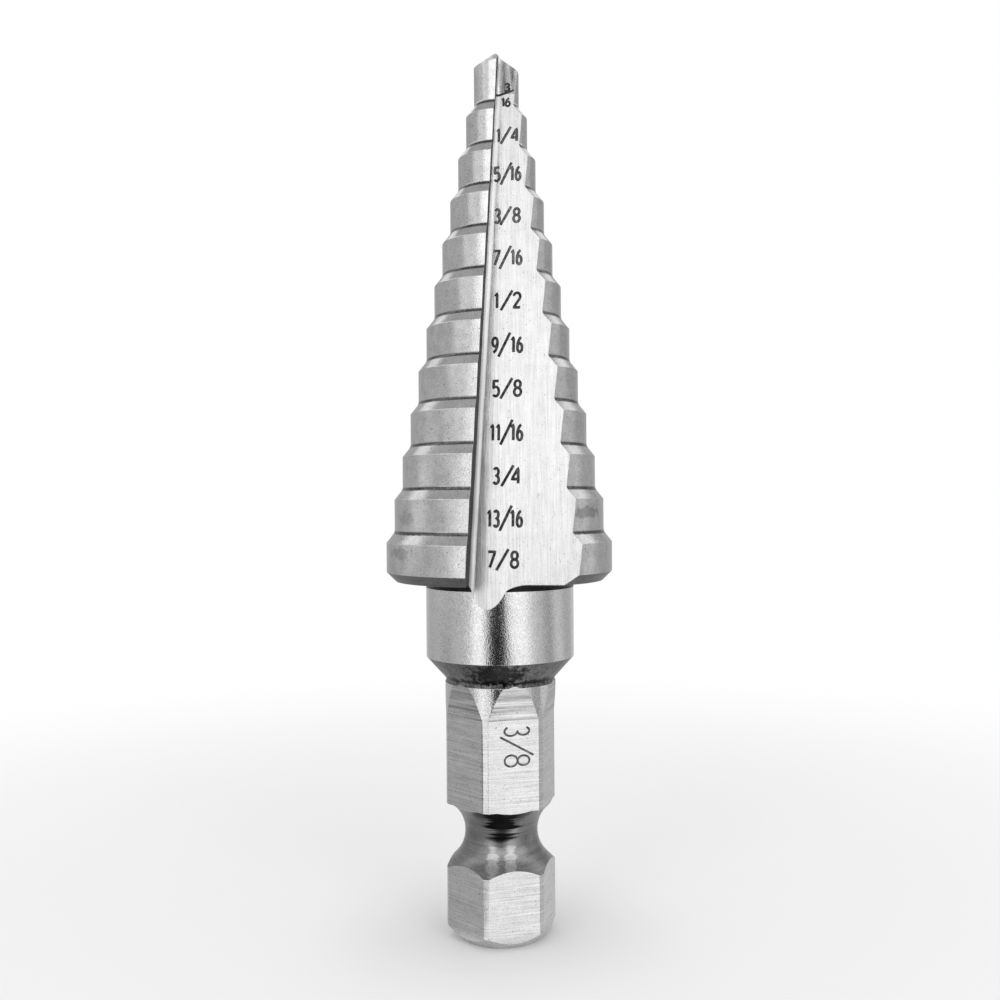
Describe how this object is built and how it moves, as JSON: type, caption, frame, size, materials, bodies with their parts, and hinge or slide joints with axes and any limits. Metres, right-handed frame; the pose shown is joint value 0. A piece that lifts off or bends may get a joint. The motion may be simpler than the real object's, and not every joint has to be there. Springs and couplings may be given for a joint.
{
  "type": "step drill",
  "caption": "Fluted step drill of high-speed steel: a cone of short cylindrical steps with a drill point, a plain collar and a hexagonal quick-change shank with a detent groove.",
  "frame": {"origin": "centre of the end face of the shank, on which the drill stands", "axes": "+Z along the drill's axis, from the shank to the point; the flute with the size marks faces -Y"},
  "size_m": [0.0218, 0.0214, 0.0852],
  "materials": {
    "ground_steel": "ground satin"
  },
  "bodies": {
    "root": {"step_drill": "ground_steel"}
  },
  "joints": []
}
